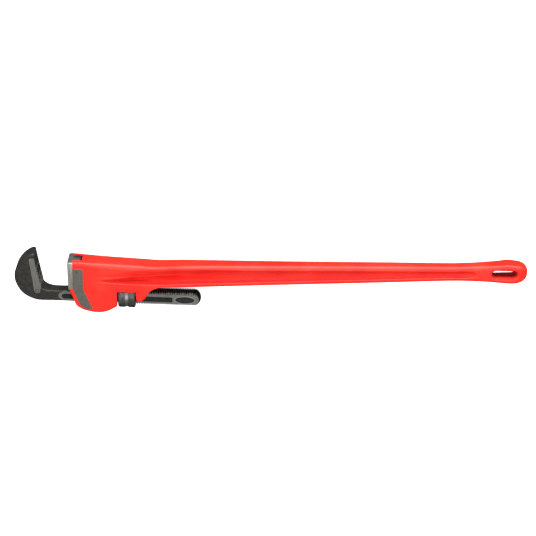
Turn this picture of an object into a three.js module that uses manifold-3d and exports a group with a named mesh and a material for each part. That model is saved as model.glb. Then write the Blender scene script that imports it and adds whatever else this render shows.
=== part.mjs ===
// Heavy straight pipe wrench for pipe up to 219 mm, lying on its side. Millimetres, +Z up.
// +X runs from the hook jaw to the handle's end, and +Y is the side that the jaws open to.
// Every X and Y below is measured from the adjusting nut's centre, which lies on the thread axis,
// and every Z from the wrench's middle plane. ORIGIN then moves the whole to its resting frame.

import * as THREE from "three";
import { mergeVertices } from "three/addons/utils/BufferGeometryUtils.js";
import Module from "manifold-3d";

const wasm = await Module();
wasm.setup();

// Driving dimensions
const ORIGIN = { x: -391.5, y: -51.7, z: 34.5 };
const PITCH = 6.35;
const CREST_RADIUS = 24.3;
const ROOT_RADIUS = 21.3;
const THREAD_CLEARANCE = 0.6;
const THREAD_SIDES = 18;
const SHANK_HALF_THICKNESS = 16;
const HOOK_HALF_THICKNESS = 22;
const HEAD_HALF_THICKNESS = 27.5;
const LAND_HALF_THICKNESS = 29;
const HEEL_HALF_WIDTH = 26.5;
const WEB_HALF_THICKNESS = 10;
const FLANGE_HEIGHT = 11;
const NUT_RADIUS = 34.5;
const NUT_LENGTH = 45.8;
const NUT_FLUTES = 20;
const WINDOW_HALF_LENGTH = 26;
const WINDOW_RADIUS = 36;
const PASSAGE_TOP = 28.5;
const PASSAGE_BOTTOM = -30.5;
const PASSAGE_HALF_WIDTH = 17.2;
const HEAD_FRONT_X = -143;
const HEEL_BOTTOM_Y = 27.4;
const HEEL_TOP_Y = 112;
const TOOTH_PITCH = 5.6;
const TOOTH_DEPTH = 2;
const TONGUE_HALF_WIDTH = 12.7;
const TONGUE = { endX: -125.5, bottomY: 50, topY: 108.5 };
const HEEL_PIN = { x: -133, y: 85.7, radius: 3.5 };
const SPRING_PIN = { x: -87.2, y: 72, radius: 3.2 };
const POCKET_RADIUS = 11;
const COIL_MEAN_RADIUS = 7.9;
const COIL_WIRE_RADIUS = 1.6;
const COIL_TURNS = 7;
const LEAF = { bottomY: CREST_RADIUS + 0.4, topY: CREST_RADIUS + 1.9, frontX: -122, rearX: -52 };
const TAIL_X = 202.5;
const TAIL_CORNER_RADIUS = 19;
const THREAD_START_X = -96;
const HANG_HOLE = { x: 1022, y: 119.6, halfLength: 35, radius: 13 };
const HANDLE_SLOPE = 0.05;
const GAP = 0.3;

const RED = 0xe8291f;
const DARK_STEEL = 0x38383a;
const GREY_STEEL = 0x8a8a86;
const SPRING_STEEL = 0x55575c;

// Joining and cutting -------------------------------------------------------------------------

function solidFrom(geometry) {
  const bare = geometry.clone();
  bare.deleteAttribute("normal");
  bare.deleteAttribute("uv");
  const merged = mergeVertices(bare, 1e-4);
  const vertProperties = new Float32Array(merged.attributes.position.array);
  const triVerts = new Uint32Array(merged.index.array);
  return new wasm.Manifold(new wasm.Mesh({ numProp: 3, vertProperties, triVerts }));
}

function geometryFrom(solid) {
  const mesh = solid.getMesh();
  const geometry = new THREE.BufferGeometry();
  geometry.setAttribute("position", new THREE.BufferAttribute(new Float32Array(mesh.vertProperties), 3));
  geometry.setIndex(new THREE.BufferAttribute(new Uint32Array(mesh.triVerts), 1));
  geometry.computeVertexNormals();
  return geometry;
}

function extruded(shape, lowZ, highZ, bevel = 0, curveSegments = 8) {
  const geometry = new THREE.ExtrudeGeometry(shape, {
    depth: highZ - lowZ - 2 * bevel,
    bevelEnabled: bevel > 0,
    bevelThickness: bevel,
    bevelSize: bevel,
    bevelOffset: -bevel,
    bevelSegments: 2,
    curveSegments,
  });
  geometry.translate(0, 0, lowZ + bevel);
  return solidFrom(geometry);
}

function box(lowX, highX, lowY, highY, lowZ, highZ) {
  const geometry = new THREE.BoxGeometry(highX - lowX, highY - lowY, highZ - lowZ);
  geometry.translate((lowX + highX) / 2, (lowY + highY) / 2, (lowZ + highZ) / 2);
  return solidFrom(geometry);
}

// A rod with its ends at low and high along the named axis; at gives its other two coordinates.
function rod(axis, radius, low, high, at, sides = 24) {
  const geometry = new THREE.CylinderGeometry(radius, radius, high - low, sides);
  if (axis === "x") geometry.rotateZ(-Math.PI / 2);
  if (axis === "z") geometry.rotateX(Math.PI / 2);
  const middle = (low + high) / 2;
  geometry.translate(axis === "x" ? middle : at.x, axis === "y" ? middle : at.y, axis === "z" ? middle : 0);
  return solidFrom(geometry);
}

function shapeThrough(start, steps) {
  const shape = new THREE.Shape();
  shape.moveTo(...start);
  for (const step of steps) {
    if (step.curve) shape.splineThru(step.curve.map(([x, y]) => new THREE.Vector2(x, y)));
    else shape.lineTo(...step.line);
  }
  return shape;
}

function stadium(x, y, halfLength, radius) {
  const shape = new THREE.Shape();
  const reach = halfLength - radius;
  shape.absarc(x + reach, y, radius, -Math.PI / 2, Math.PI / 2);
  shape.absarc(x - reach, y, radius, Math.PI / 2, (3 * Math.PI) / 2);
  return shape;
}

// Threads -------------------------------------------------------------------------------------

// A right-hand threaded bar along X, wound from rings that climb one pitch per turn. Each pitch has
// four rows: the root's end, the crest's two ends and the root's start. Its first and last turns
// are ragged, so the bar is made long and cut to length afterwards.
function threadedBar(lowX, highX, rootRadius, crestRadius, crestHalfWidth, rootHalfWidth) {
  const rows = [
    { offset: -crestHalfWidth, radius: crestRadius },
    { offset: crestHalfWidth, radius: crestRadius },
    { offset: PITCH / 2 - rootHalfWidth, radius: rootRadius },
    { offset: PITCH / 2 + rootHalfWidth, radius: rootRadius },
  ];
  const firstTurn = Math.floor(lowX / PITCH) - 2;
  const lastTurn = Math.ceil(highX / PITCH) + 2;
  const rowCount = (lastTurn - firstTurn) * rows.length;
  const positions = [];
  const indices = [];
  const addVertex = (x, radius, angle) => {
    positions.push(x, radius * Math.cos(angle), radius * Math.sin(angle));
    return positions.length / 3 - 1;
  };
  const ringOf = (row, side) => {
    const { offset, radius } = rows[row % rows.length];
    const turn = firstTurn + Math.floor(row / rows.length) + side / THREAD_SIDES;
    return addVertex(turn * PITCH + offset, radius, (side / THREAD_SIDES) * 2 * Math.PI);
  };
  const grid = [];
  for (let row = 0; row <= rowCount + rows.length; row += 1) {
    const sides = row <= rowCount ? THREAD_SIDES : 1;
    grid.push(Array.from({ length: sides }, (_, side) => ringOf(row, side)));
  }
  const at = (row, side) => (side < THREAD_SIDES ? grid[row][side] : grid[row + rows.length][0]);
  for (let row = 0; row < rowCount; row += 1) {
    for (let side = 0; side < THREAD_SIDES; side += 1) {
      indices.push(at(row, side), at(row, side + 1), at(row + 1, side));
      indices.push(at(row + 1, side), at(row, side + 1), at(row + 1, side + 1));
    }
  }
  const closeEnd = (row, x, outward) => {
    const rim = Array.from({ length: THREAD_SIDES }, (_, side) => at(row, side));
    for (let step = rows.length; step > 0; step -= 1) rim.push(grid[row + step][0]);
    const centre = addVertex(x, 0, 0);
    rim.forEach((vertex, place) => {
      const next = rim[(place + 1) % rim.length];
      indices.push(centre, outward ? vertex : next, outward ? next : vertex);
    });
  };
  closeEnd(0, (firstTurn - 1) * PITCH, false);
  closeEnd(rowCount, (lastTurn + 2) * PITCH, true);
  const geometry = new THREE.BufferGeometry();
  geometry.setAttribute("position", new THREE.Float32BufferAttribute(positions, 3));
  geometry.setIndex(indices);
  return solidFrom(geometry);
}

// Handle, one casting with the head -----------------------------------------------------------

// Stations along the beam: its height and its thickness at each X. The beam's centre line is straight.
const BEAM_START_X = 80;
const BEAM_START_Y = 72.7;
const BEAM_STATIONS = [
  { x: 80, height: 66, thickness: 54.6 },
  { x: 150, height: 62.6, thickness: 51 },
  { x: 227, height: 61.2, thickness: 47 },
  { x: 471, height: 53.6, thickness: 40.6 },
  { x: 715, height: 46.2, thickness: 37.2 },
  { x: 877, height: 40.4, thickness: 35.6 },
  { x: 958, height: 45, thickness: 36.2 },
  { x: 1010, height: 51.4, thickness: 40.4 },
  { x: 1040, height: 57, thickness: 43 },
];
const BULB_END_X = 1086;
const BEAM_CORNER = 7;

function beamCentreY(x) {
  return BEAM_START_Y + HANDLE_SLOPE * (x - BEAM_START_X);
}

function beamCurve(key) {
  return new THREE.SplineCurve(BEAM_STATIONS.map((station) => new THREE.Vector2(station.x, station[key])));
}

// One closed ring of the beam: a rectangle in YZ with rounded corners.
function beamRing(x, height, thickness, corner) {
  const ring = [];
  const radius = Math.min(corner, height / 2 - 0.5, thickness / 2 - 0.5);
  const cornerSteps = 3;
  for (let quarter = 0; quarter < 4; quarter += 1) {
    const signY = quarter === 0 || quarter === 3 ? 1 : -1;
    const signZ = quarter < 2 ? 1 : -1;
    for (let step = 0; step <= cornerSteps; step += 1) {
      const angle = ((quarter + step / cornerSteps) * Math.PI) / 2;
      const y = signY * (height / 2 - radius) + radius * Math.cos(angle);
      const z = signZ * (thickness / 2 - radius) + radius * Math.sin(angle);
      ring.push([x, beamCentreY(x) + y, z]);
    }
  }
  return ring;
}

function beamOuter() {
  const heights = beamCurve("height");
  const thicknesses = beamCurve("thickness");
  const rings = [];
  const stationSteps = 24;
  for (let step = 0; step <= stationSteps; step += 1) {
    const height = heights.getPoint(step / stationSteps);
    const thickness = thicknesses.getPoint(step / stationSteps);
    rings.push(beamRing(height.x, height.y, thickness.y, BEAM_CORNER));
  }
  const last = BEAM_STATIONS[BEAM_STATIONS.length - 1];
  const bulbSteps = 7;
  for (let step = 1; step <= bulbSteps; step += 1) {
    const angle = (step / (bulbSteps + 0.35)) * (Math.PI / 2);
    const x = last.x + (BULB_END_X - last.x) * Math.sin(angle);
    const shrink = Math.cos(angle) ** 0.8;
    rings.push(beamRing(x, last.height * shrink, last.thickness * Math.cos(angle) ** 0.4, BEAM_CORNER * 1.6));
  }
  return solidThroughRings(rings);
}

function solidThroughRings(rings) {
  const count = rings[0].length;
  const positions = rings.flat(2);
  const indices = [];
  for (let ring = 0; ring < rings.length - 1; ring += 1) {
    for (let side = 0; side < count; side += 1) {
      const here = ring * count + side;
      const beside = ring * count + ((side + 1) % count);
      indices.push(here, beside, here + count, beside, beside + count, here + count);
    }
  }
  const lastStart = (rings.length - 1) * count;
  for (let side = 1; side < count - 1; side += 1) {
    indices.push(0, side + 1, side, lastStart, lastStart + side, lastStart + side + 1);
  }
  const geometry = new THREE.BufferGeometry();
  geometry.setAttribute("position", new THREE.Float32BufferAttribute(positions, 3));
  geometry.setIndex(indices);
  return solidFrom(geometry);
}

function headOutline() {
  return shapeThrough([HEAD_FRONT_X, 113.6], [
    { curve: [[-75, 111], [33, 107.6], [90, 105.6]] },
    { line: [90, 42] },
    { curve: [[69.5, 33.2], [58, 18], [51, 6], [42, -2.5], [30, -5]] },
    { line: [-20, -20] },
    { curve: [[-52, -39.4], [-79, -45], [-107, -41], [-129, -32], [-140, -19], [-147, 4], [-156, 27]] },
    { line: [HEAD_FRONT_X, 27] },
  ]);
}

function landOutline() {
  return shapeThrough([-142.5, 95], [
    { line: [-116.5, 95.5] },
    { line: [-116.5, 31] },
    { line: [-92.5, -33] },
    { curve: [[-104, -32.5], [-116.7, -29.5]] },
    { line: [-128.5, -17] },
    { line: [-142.5, 26.5] },
  ]);
}

// The recess that leaves the beam's web, pointed where it runs out on the head.
function recessOutline() {
  const tip = { x: -70, y: 58 };
  const endX = 950;
  const edgeY = (x, side) => {
    const heights = beamCurve("height");
    const height = heights.getPoint(placeAlong(heights, x)).y;
    return beamCentreY(x) + side * (height / 2 - FLANGE_HEIGHT);
  };
  const upper = [100, 227, 471, 715, 877, endX].map((x) => [x, edgeY(x, 1)]);
  const lower = [endX, 877, 715, 471, 227, 100].map((x) => [x, edgeY(x, -1)]);
  return shapeThrough([tip.x, tip.y], [
    { curve: [[20, 78], ...upper] },
    { line: lower[0] },
    { curve: [...lower.slice(1), [20, 52.5], [tip.x, tip.y]] },
  ]);
}

// Where along a rising curve its X reaches x, found by halving the interval.
function placeAlong(curve, x) {
  let low = 0;
  let high = 1;
  for (let pass = 0; pass < 30; pass += 1) {
    const middle = (low + high) / 2;
    if (curve.getPoint(middle).x < x) low = middle;
    else high = middle;
  }
  return (low + high) / 2;
}

function handleSolid() {
  const lands = extruded(landOutline(), -LAND_HALF_THICKNESS, LAND_HALF_THICKNESS);
  const head = extruded(headOutline(), -HEAD_HALF_THICKNESS, HEAD_HALF_THICKNESS, 5, 2);
  const recess = recessOutline();
  const holes = [
    extruded(recess, WEB_HALF_THICKNESS, 40),
    extruded(recess, -40, -WEB_HALF_THICKNESS),
    box(-160, 70, PASSAGE_BOTTOM, PASSAGE_TOP, -PASSAGE_HALF_WIDTH, PASSAGE_HALF_WIDTH),
    box(-WINDOW_HALF_LENGTH, WINDOW_HALF_LENGTH, -60, 0, -40, 40),
    rod("x", WINDOW_RADIUS, -WINDOW_HALF_LENGTH, WINDOW_HALF_LENGTH, { y: 0 }, 32),
    box(-160, -121.7, 47, 130, -13.2, 13.2),
    rod("z", HEEL_PIN.radius + GAP, -40, 40, HEEL_PIN),
    rod("z", SPRING_PIN.radius + GAP, -40, 40, SPRING_PIN),
    rod("y", POCKET_RADIUS, 20, 77, { x: SPRING_PIN.x }),
    extruded(stadium(HANG_HOLE.x, HANG_HOLE.y, HANG_HOLE.halfLength, HANG_HOLE.radius), -40, 40),
  ];
  const casting = head.add(lands).add(beamOuter());
  return holes.reduce((solid, hole) => solid.subtract(hole), casting);
}

// Jaws ----------------------------------------------------------------------------------------

// What is cut from a jaw's face to leave its teeth. The face runs from start to end along the teeth's
// crests, with the jaw's metal on the left of that line.
function toothGrooves(start, end) {
  const from = new THREE.Vector2(...start);
  const along = new THREE.Vector2(...end).sub(from);
  const count = Math.floor(along.length() / TOOTH_PITCH);
  const inward = new THREE.Vector2(-along.y, along.x).normalize();
  const crestFraction = 0.12;
  const steepFraction = 0.2;
  const shape = new THREE.Shape();
  const place = (fraction, depth) => {
    const point = from.clone().addScaledVector(along, fraction).addScaledVector(inward, depth);
    return [point.x, point.y];
  };
  shape.moveTo(...place(0, -4));
  for (let tooth = 0; tooth < count; tooth += 1) {
    shape.lineTo(...place((tooth + crestFraction) / count, -0.01));
    shape.lineTo(...place((tooth + crestFraction + steepFraction) / count, TOOTH_DEPTH));
    shape.lineTo(...place((tooth + 1) / count, -0.01));
  }
  shape.lineTo(...place(1, -4));
  return extruded(shape, -40, 40);
}

function heelJawSolid() {
  const faceX = -158.5;
  const backX = HEAD_FRONT_X - GAP;
  const tongue = box(backX - 1, TONGUE.endX, TONGUE.bottomY, TONGUE.topY, -TONGUE_HALF_WIDTH, TONGUE_HALF_WIDTH);
  return box(faceX, backX, HEEL_BOTTOM_Y, HEEL_TOP_Y, -HEEL_HALF_WIDTH, HEEL_HALF_WIDTH)
    .add(tongue)
    .subtract(toothGrooves([faceX, HEEL_TOP_Y], [faceX, HEEL_BOTTOM_Y]))
    .subtract(rod("z", HEEL_PIN.radius + GAP, -40, 40, HEEL_PIN));
}

const HOOK_FACE = { low: [-233, 30], high: [-246, 121] };

function hookOutline() {
  return shapeThrough([-219, -17.2], [
    { line: [-219, 17.2] },
    { curve: [[-226.5, 21.8], HOOK_FACE.low] },
    { line: HOOK_FACE.high },
    { curve: [[-248, 128], [-254, 130], [-261, 127.5]] },
    { curve: [[-281, 111], [-297, 86], [-303, 58], [-298, 28], [-281, 1], [-252, -14], [-219, -17.2]] },
  ]);
}

// The plain neck between the hook and the thread, narrower than the hook so that it fits the passage.
function neckOutline() {
  return shapeThrough([-232, -16], [
    { line: [-219, -17.3] },
    { line: [THREAD_START_X + 2, -17.3] },
    { line: [THREAD_START_X + 2, 13.8] },
    { line: [-203, 13.8] },
    { curve: [[-212, 14.8], [-220, 17.8], [-228, 23]] },
  ]);
}

// The shank's end behind the hook, seen from the side: square at the front, round at the tail.
function shankOutline() {
  const shape = new THREE.Shape();
  shape.moveTo(THREAD_START_X, -CREST_RADIUS - 1);
  shape.lineTo(TAIL_X - TAIL_CORNER_RADIUS, -CREST_RADIUS - 1);
  shape.absellipse(TAIL_X - TAIL_CORNER_RADIUS, 0, TAIL_CORNER_RADIUS, CREST_RADIUS + 1, -Math.PI / 2, Math.PI / 2);
  shape.lineTo(THREAD_START_X, CREST_RADIUS + 1);
  return shape;
}

function channelOutline() {
  const shape = new THREE.Shape();
  const radius = 8;
  const centreY = -1.8;
  const frontX = -178;
  shape.moveTo(124.5, centreY + radius);
  shape.absarc(frontX + radius, centreY, radius, Math.PI / 2, (3 * Math.PI) / 2);
  shape.lineTo(124.5, centreY - radius);
  return shape;
}

function ovalOutline() {
  const shape = new THREE.Shape();
  shape.absellipse(158.5, -1, 27, 10.5, 0, 2 * Math.PI);
  return shape;
}

function hookJawSolid() {
  const channelDepth = 4;
  const ovalDepth = 1.2;
  const channelFloor = SHANK_HALF_THICKNESS - channelDepth;
  const ovalFloor = SHANK_HALF_THICKNESS - ovalDepth;
  const thread = threadedBar(THREAD_START_X, TAIL_X, ROOT_RADIUS, CREST_RADIUS, 1.1, 1.1)
    .intersect(extruded(shankOutline(), -SHANK_HALF_THICKNESS, SHANK_HALF_THICKNESS, 0, 6));
  const hook = extruded(hookOutline(), -HOOK_HALF_THICKNESS, HOOK_HALF_THICKNESS, 3, 2)
    .subtract(toothGrooves(HOOK_FACE.low, HOOK_FACE.high));
  const hollows = [];
  for (const side of [-1, 1]) {
    const outside = side * (HOOK_HALF_THICKNESS + 5);
    const between = (outline, floor) =>
      extruded(outline, Math.min(side * floor, outside), Math.max(side * floor, outside));
    hollows.push(between(channelOutline(), channelFloor), between(ovalOutline(), ovalFloor));
  }
  const neck = extruded(neckOutline(), -SHANK_HALF_THICKNESS, SHANK_HALF_THICKNESS);
  const body = hook.add(neck).add(thread);
  return hollows.reduce((solid, hollow) => solid.subtract(hollow), body);
}

// Nut, pins and springs -----------------------------------------------------------------------

function nutSolid() {
  const half = NUT_LENGTH / 2;
  const profile = [
    [0, -half], [NUT_RADIUS - 2.4, -half], [NUT_RADIUS, -half + 2.4], [NUT_RADIUS, -4],
    [NUT_RADIUS - 2.2, -2], [NUT_RADIUS - 2.2, 2], [NUT_RADIUS, 4], [NUT_RADIUS, half - 2.4],
    [NUT_RADIUS - 2.4, half], [0, half],
  ];
  const turned = new THREE.LatheGeometry(profile.map(([r, x]) => new THREE.Vector2(r, x)), 40);
  turned.rotateZ(-Math.PI / 2);
  const knurl = new THREE.Shape();
  for (let flute = 0; flute < NUT_FLUTES; flute += 1) {
    for (const [part, depth] of [[0, 0], [0.5, 0], [0.75, 1.4]]) {
      const angle = ((flute + part) / NUT_FLUTES) * 2 * Math.PI;
      const radius = NUT_RADIUS - depth;
      const method = flute + part === 0 ? "moveTo" : "lineTo";
      knurl[method](radius * Math.cos(angle), radius * Math.sin(angle));
    }
  }
  const fluted = new THREE.ExtrudeGeometry(knurl, { depth: NUT_LENGTH + 2, bevelEnabled: false });
  fluted.rotateY(Math.PI / 2);
  fluted.translate(-half - 1, 0, 0);
  const bore = threadedBar(
    -half, half, ROOT_RADIUS + THREAD_CLEARANCE, CREST_RADIUS + THREAD_CLEARANCE,
    1.1 + THREAD_CLEARANCE * 0.9, 1.1 - THREAD_CLEARANCE * 0.9);
  return solidFrom(turned).intersect(solidFrom(fluted)).subtract(bore);
}

function coilSpringGeometry() {
  const low = LEAF.topY + GAP + COIL_WIRE_RADIUS;
  const high = SPRING_PIN.y - SPRING_PIN.radius - GAP - COIL_WIRE_RADIUS;
  class Helix extends THREE.Curve {
    getPoint(t, target = new THREE.Vector3()) {
      const angle = t * COIL_TURNS * 2 * Math.PI;
      return target.set(
        SPRING_PIN.x + COIL_MEAN_RADIUS * Math.cos(angle),
        low + (high - low) * t,
        COIL_MEAN_RADIUS * Math.sin(angle));
    }
  }
  const section = new THREE.Shape();
  section.absarc(0, 0, COIL_WIRE_RADIUS, 0, 2 * Math.PI);
  return new THREE.ExtrudeGeometry(section, {
    steps: COIL_TURNS * 10, curveSegments: 3, extrudePath: new Helix(), bevelEnabled: false });
}

// A leaf that lies along the top of the thread, with a boss that the coil spring fits over.
function flatSpringSolid() {
  const halfWidth = 10;
  const bossRadius = 4.5;
  return box(LEAF.frontX, LEAF.rearX, LEAF.bottomY, LEAF.topY, -halfWidth, halfWidth)
    .add(rod("y", bossRadius, LEAF.bottomY + 0.2, LEAF.topY + 4, { x: SPRING_PIN.x }, 16));
}

// Assembly ------------------------------------------------------------------------------------

const cast = { color: RED, roughness: 0.42, metalness: 0 };
const forged = { color: DARK_STEEL, roughness: 0.5, metalness: 0.6 };
const ground = { color: GREY_STEEL, roughness: 0.38, metalness: 0.9 };
const sprung = { color: SPRING_STEEL, roughness: 0.35, metalness: 0.9 };

const wrench = new THREE.Group();
wrench.position.set(ORIGIN.x, ORIGIN.y, ORIGIN.z);

function addPiece(name, geometry, finish) {
  const piece = new THREE.Mesh(geometry, new THREE.MeshStandardMaterial(finish));
  piece.name = name;
  wrench.add(piece);
}

addPiece("handle", geometryFrom(handleSolid()), cast);
addPiece("heel_jaw", geometryFrom(heelJawSolid()), ground);
addPiece("heel_jaw_pin", geometryFrom(rod("z", HEEL_PIN.radius, -28, 28, HEEL_PIN)), ground);
addPiece("hook_jaw", geometryFrom(hookJawSolid()), forged);
addPiece("adjusting_nut", geometryFrom(nutSolid()), forged);
addPiece("coil_spring", coilSpringGeometry(), sprung);
addPiece("flat_spring", geometryFrom(flatSpringSolid()), sprung);
addPiece("spring_pin", geometryFrom(rod("z", SPRING_PIN.radius, -26.8, 26.8, SPRING_PIN)), ground);

const assembly = new THREE.Group();
assembly.add(wrench);

export default assembly;
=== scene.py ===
"""Looks of the pipe wrench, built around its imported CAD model.

Shapes are worked out in millimetres from the adjusting nut's centre, on the thread axis, and
mesh_object() puts them in the frame in metres. Cast and forged pieces are surfaces of distance fields,
because those give the round edges and soft fillets of such metal, and machined faces are cut into them.
"""

import math

import bpy
import numpy as np
from mathutils import Matrix, Vector


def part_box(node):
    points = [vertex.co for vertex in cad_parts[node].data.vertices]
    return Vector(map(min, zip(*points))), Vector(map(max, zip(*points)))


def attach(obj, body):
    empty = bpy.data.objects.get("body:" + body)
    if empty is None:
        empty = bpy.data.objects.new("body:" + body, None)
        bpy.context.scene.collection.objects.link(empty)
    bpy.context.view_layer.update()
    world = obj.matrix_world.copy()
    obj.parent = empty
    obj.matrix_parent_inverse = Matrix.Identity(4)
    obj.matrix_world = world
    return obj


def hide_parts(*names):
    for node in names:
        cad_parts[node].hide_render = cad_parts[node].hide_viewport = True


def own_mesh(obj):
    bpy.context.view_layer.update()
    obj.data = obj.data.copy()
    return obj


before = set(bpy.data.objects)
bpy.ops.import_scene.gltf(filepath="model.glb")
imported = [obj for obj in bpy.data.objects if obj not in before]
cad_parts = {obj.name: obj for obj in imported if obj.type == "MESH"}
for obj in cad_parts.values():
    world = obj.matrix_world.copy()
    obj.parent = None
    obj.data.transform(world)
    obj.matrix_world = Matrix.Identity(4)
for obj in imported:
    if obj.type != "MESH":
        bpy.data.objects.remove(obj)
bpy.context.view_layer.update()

MM = 0.001

# Places taken from the frame, in metres
NUT_LOW, NUT_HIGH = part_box("adjusting_nut")
CENTRE = (NUT_LOW + NUT_HIGH) / 2
HANDLE_LOW, HANDLE_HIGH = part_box("handle")
HOOK_LOW, HOOK_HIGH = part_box("hook_jaw")
HEEL_LOW, HEEL_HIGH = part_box("heel_jaw")


def local(point):
    """A frame point in millimetres from the nut's centre."""
    return (Vector(point) - CENTRE) / MM


# Driving dimensions, in millimetres ----------------------------------------------------------

# Thread and shank
PITCH = 6.35
CREST_RADIUS = 24.3
ROOT_RADIUS = 21.3
THREAD_START_X = -96.0
TAIL_X = local(HOOK_HIGH).x
TAIL_DOME = 22.0
SHANK_HALF = 16.0
HOOK_HALF = local(HOOK_HIGH).z
# Start, stop, lower and upper edge of the channel in the shank's sides
CHANNEL = (-178.0, 124.5, -9.8, 6.2)
CHANNEL_DEPTH = 4.0
# Place, half length, half height and depth of the oval recess
OVAL = (158.5, -1.0, 27.0, 10.5, 1.2)
OVAL_RIM = 2.0
OVAL_RIM_HEIGHT = 0.5
# Place and radius of the round foot of the strip beside the teeth
STRIP_FOOT = (-243.0, 16.5, 8.2)
# Front, lower and upper edge of the ground pad on the neck
PAD = (-187.0, -14.8, 11.2)

# Teeth of both jaws
TOOTH_PITCH = 5.6
TOOTH_DEPTH = 2.6
HOOK_TOOTH_DEPTH = 4.4

# Heel jaw, and the two cross pins as place and radius
HEEL_HALF = local(HEEL_HIGH).z
HEEL_FACE_X = local(HEEL_LOW).x
HEEL_BOTTOM_Y = local(HEEL_LOW).y
HEEL_TOP_Y = local(HEEL_HIGH).y
TONGUE_END_X = local(HEEL_HIGH).x
TONGUE_HALF = 12.7
TONGUE_TOP_Y = 108.5
TONGUE_BOTTOM_Y = 50.0
SLOT_HALF = 13.8
SLOT_END_X = -119.6
HEEL_PIN = (-133.0, 85.7, 3.5)
SPRING_PIN = (-87.2, 72.0, 3.2)

# Head of the casting
LAND_HALF = local(HANDLE_HIGH).z
HEAD_HALF = LAND_HALF - 1.5
HEAD_FRONT_X = -143.0
HEEL_BACK_X = HEAD_FRONT_X - 0.3
WINDOW_HALF = 26.0
WINDOW_RADIUS = 36.0
# Bottom, top and half width of the shank's passage
PASSAGE = (-30.5, 28.5, 17.2)

# Handle: an I-beam that ends in a rounded bulb with a slanted hole
WEB_HALF = 10.0
FLANGE = 11.0
CROWN = 3.2
BEAM_START = (80.0, 72.7)
HANDLE_SLOPE = 0.05
BULB_START_X = 1040.0
BULB_END_X = local(HANDLE_HIGH).x
BULB_HALF = 28.5
BULB_SQUARENESS = 0.8
BULB_RISE = 1.8
# Place, half length between its round ends and their radius
HANG_HOLE = (1022.0, 119.6, 22.0, 12.6)
HANG_HOLE_SLANT = 0.9
HOLLOW_START_X = -82.0
HOLLOW_FADE_X = 885.0
HOLLOW_END_X = 950.0
HOLLOW_DRAFT = 0.2
# How far the painted shade reaches from the hollow's lower wall and from the hang hole's outline.
SHADE_REACH = 5.0
HOLE_SHADE_REACH = 5.0

# Adjusting nut
NUT_RADIUS = local(NUT_HIGH).z
NUT_HALF = local(NUT_HIGH).x
NUT_CHAMFER = 2.5
THREAD_PLAY = 0.6
KNURLS = 60
KNURL_STEP = 3.6
KNURL_DEPTH = 0.7
VALLEY_HALF = 3.5
VALLEY_DEPTH = 2.0

# Springs
COIL_WIRE = 1.5
COIL_TURNS = 7.0
LEAF_THICKNESS = 1.4
BOSS_RADIUS = 4.5

# Along the beam: place, height and thickness
STATIONS = np.array([
    (80, 66.0, 54.6), (150, 62.6, 51.0), (227, 61.2, 47.0), (471, 53.6, 40.6), (715, 46.2, 37.2),
    (877, 40.4, 35.6), (958, 45.0, 36.2), (1010, 51.4, 40.4), (1040, 57.0, 43.0)])


# Distance fields -----------------------------------------------------------------------------

def smooth_curve(points, steps=8):
    """Points along a Catmull-Rom curve through the given ones, without the last."""
    p = np.array(points, float)
    ends = np.vstack([2 * p[0] - p[1], p, 2 * p[-1] - p[-2]])
    out = []
    for i in range(len(p) - 1):
        a, b, c, d = ends[i:i + 4]
        for t in np.arange(steps) / steps:
            out.append(0.5 * (2 * b + (c - a) * t + (2 * a - 5 * b + 4 * c - d) * t ** 2
                              + (3 * b - a - 3 * c + d) * t ** 3))
    return out


def outline(*parts):
    """A closed polygon from parts, each a point or a list of points that a curve runs through."""
    points = []
    for part in parts:
        points.extend(smooth_curve(part) + [np.array(part[-1], float)] if isinstance(part, list)
                      else [np.array(part, float)])
    kept = [p for i, p in enumerate(points) if np.linalg.norm(p - points[i - 1]) > 1e-6]
    return np.array(kept)


def polygon_distance(x, y, polygon):
    """Signed distance from each point to a closed polygon, negative inside."""
    nearest = np.full(x.shape, 1e12)
    inside = np.zeros(x.shape, bool)
    for (ax, ay), (bx, by) in zip(polygon, np.roll(polygon, -1, axis=0)):
        ex, ey = bx - ax, by - ay
        wx, wy = x - ax, y - ay
        t = np.clip((wx * ex + wy * ey) / (ex * ex + ey * ey), 0, 1)
        nearest = np.minimum(nearest, (wx - t * ex) ** 2 + (wy - t * ey) ** 2)
        crosses = (ay > y) != (by > y)
        if ay != by:
            inside ^= crosses & (x < ax + (y - ay) * ex / ey)
    return np.where(inside, -1, 1) * np.sqrt(nearest)


class OutlineField:
    """A polygon's distance, kept on a fine grid so that many points can be read quickly."""

    def __init__(self, polygon, margin=14.0, step=0.75):
        self.low = polygon.min(0) - margin
        self.step = step
        counts = np.ceil((polygon.max(0) + margin - self.low) / step).astype(int) + 2
        x = self.low[0] + step * np.arange(counts[0])
        y = self.low[1] + step * np.arange(counts[1])
        self.grid = polygon_distance(*np.meshgrid(x, y, indexing="ij"), polygon)

    def __call__(self, x, y):
        u = np.clip((x - self.low[0]) / self.step, 0, self.grid.shape[0] - 1.001)
        v = np.clip((y - self.low[1]) / self.step, 0, self.grid.shape[1] - 1.001)
        i, j = u.astype(int), v.astype(int)
        u, v = u - i, v - j
        g = self.grid
        return ((g[i, j] * (1 - u) + g[i + 1, j] * u) * (1 - v)
                + (g[i, j + 1] * (1 - u) + g[i + 1, j + 1] * u) * v)


def round_and(a, b, radius):
    """Where both fields are inside, with the edge between them rounded."""
    inner = np.minimum(-radius, np.maximum(a, b))
    return inner + np.hypot(np.maximum(a + radius, 0), np.maximum(b + radius, 0))


def ease(share):
    """0 to 1 with soft ends."""
    share = np.clip(share, 0, 1)
    return share * share * (3 - 2 * share)


def spaced(*stretches):
    """Places along one axis, from (start, step) pairs and a last bare end."""
    places = [np.array([stretches[0][0]])]
    for (start, step), following in zip(stretches, stretches[1:]):
        end = following[0] if isinstance(following, tuple) else following
        places.append(np.linspace(start, end, max(int(round((end - start) / step)), 1) + 1)[1:])
    return np.concatenate(places)


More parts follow.
